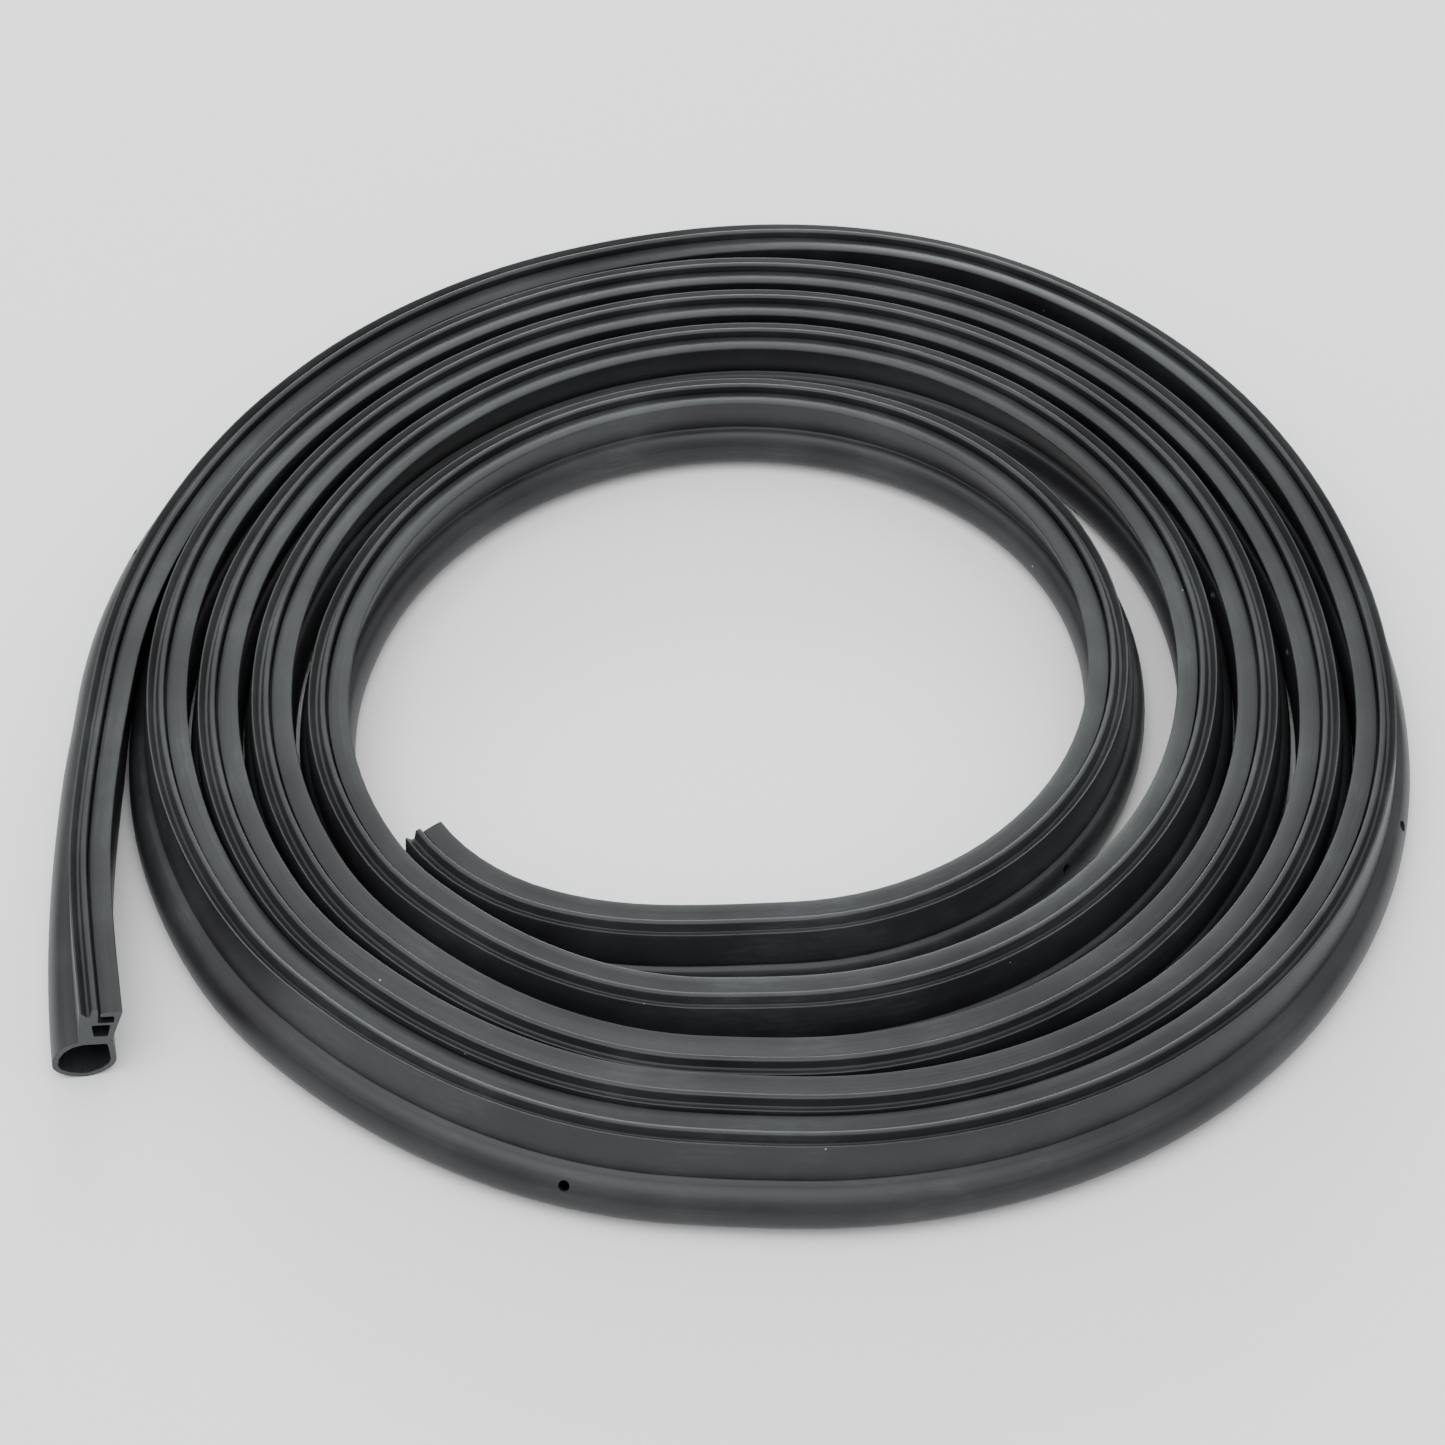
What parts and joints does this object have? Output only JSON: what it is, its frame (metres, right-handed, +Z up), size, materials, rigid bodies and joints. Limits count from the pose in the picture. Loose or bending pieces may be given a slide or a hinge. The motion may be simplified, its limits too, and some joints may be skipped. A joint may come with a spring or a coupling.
{
  "type": "trunk weatherstrip",
  "caption": "Length of black rubber trunk weatherstrip, a hollow vented bulb under a slotted edge-grip carrier, laid as a loose flat coil with both cut ends free.",
  "frame": {"origin": "middle of the coil's footprint, on the floor under it", "axes": "+Z up, away from the floor that the bulb rests on; +X to the picture's right and +Y away from its camera, so the free outer end is at -X -Y"},
  "size_m": [0.396, 0.3872, 0.0288],
  "materials": {
    "rubber": "extruded black EPDM rubber with a soft satin sheen and fine streaks along its length"
  },
  "bodies": {
    "root": {"weatherstrip": "rubber"}
  },
  "joints": []
}
